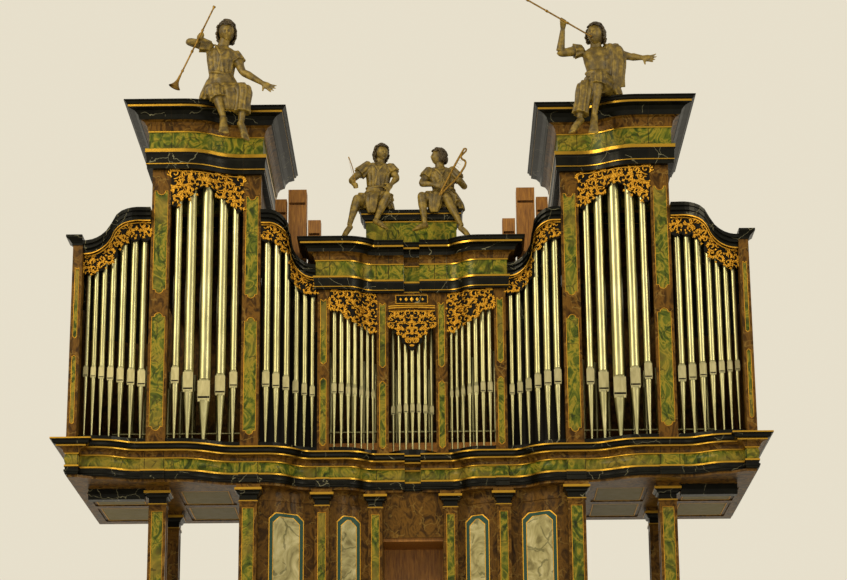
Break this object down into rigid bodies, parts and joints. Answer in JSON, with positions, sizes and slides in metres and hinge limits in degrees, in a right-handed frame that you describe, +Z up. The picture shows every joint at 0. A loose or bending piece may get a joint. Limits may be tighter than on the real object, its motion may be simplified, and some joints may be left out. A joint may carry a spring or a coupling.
{
  "type": "pipe organ",
  "caption": "Baroque gallery organ: concave marbled case on posts, towers, swags and fields of tin pipes, gilt shades and seated angels.",
  "frame": {"origin": "on the gallery floor under the middle of the organ's footprint", "axes": "+Z up, -Y towards the nave that the front faces, +X to the right seen from the front"},
  "size_m": [8.68, 3.1327, 8.8239],
  "materials": {
    "brown_casework": "brown marbled paint on softwood",
    "marbled_posts": "brown marbled paint with green insets, varnished",
    "marbled_mouldings": "green, brown and black marbled paint with gilt lines, varnished",
    "black_marbling": "black marbled paint, varnished",
    "soffit_panels": "green marbled panels in brown frames",
    "deck_boards": "plain softwood boards",
    "pine": "oiled pine",
    "key_covers": "polished bone-coloured key covers",
    "gilding": "carved and gilt wood",
    "tin": "polished tin",
    "pipe_metal": "dull pipe metal",
    "figure_paint": "stone-coloured paint on carved limewood",
    "bronze_paint": "dull bronze"
  },
  "bodies": {
    "root": {"plinth": "brown_casework", "lower_front": "brown_casework", "lower_walls": "brown_casework", "wing_posts": "marbled_posts", "inner_posts": "marbled_posts", "lower_pilasters": "marbled_posts", "wing_beams": "black_marbling", "soffits": "soffit_panels", "impost_front": "marbled_mouldings", "impost_returns": "marbled_mouldings", "platform_deck": "deck_boards", "keydesk": "pine", "keyboards": "key_covers", "pedalboard": "pine", "outer_posts": "marbled_posts", "tower_pilasters": "marbled_posts", "centre_pilasters": "marbled_posts", "toe_boards": "black_marbling", "wind_chests": "pine", "inner_pipes": "pipe_metal", "wooden_pipes": "pine", "side_walls": "brown_casework", "back_wall": "brown_casework", "tower_walls": "brown_casework", "tower_entablature_left": "marbled_mouldings", "tower_entablature_right": "marbled_mouldings", "centre_entablature": "marbled_mouldings", "bay_head": "brown_casework", "outer_swag_cornices": "black_marbling", "inner_swag_cornices": "black_marbling", "tower_shades": "gilding", "outer_swag_shades": "gilding", "inner_swag_shades": "gilding", "centre_shades": "gilding", "tower_pipes": "tin", "outer_swag_pipes": "tin", "inner_swag_pipes": "tin", "side_field_pipes": "tin", "centre_pipes": "tin", "crown_pedestal": "marbled_mouldings", "left_tower_angel": "figure_paint", "right_tower_angel": "figure_paint", "left_centre_angel": "figure_paint", "right_centre_angel": "figure_paint", "instruments": "bronze_paint"}
  },
  "joints": []
}
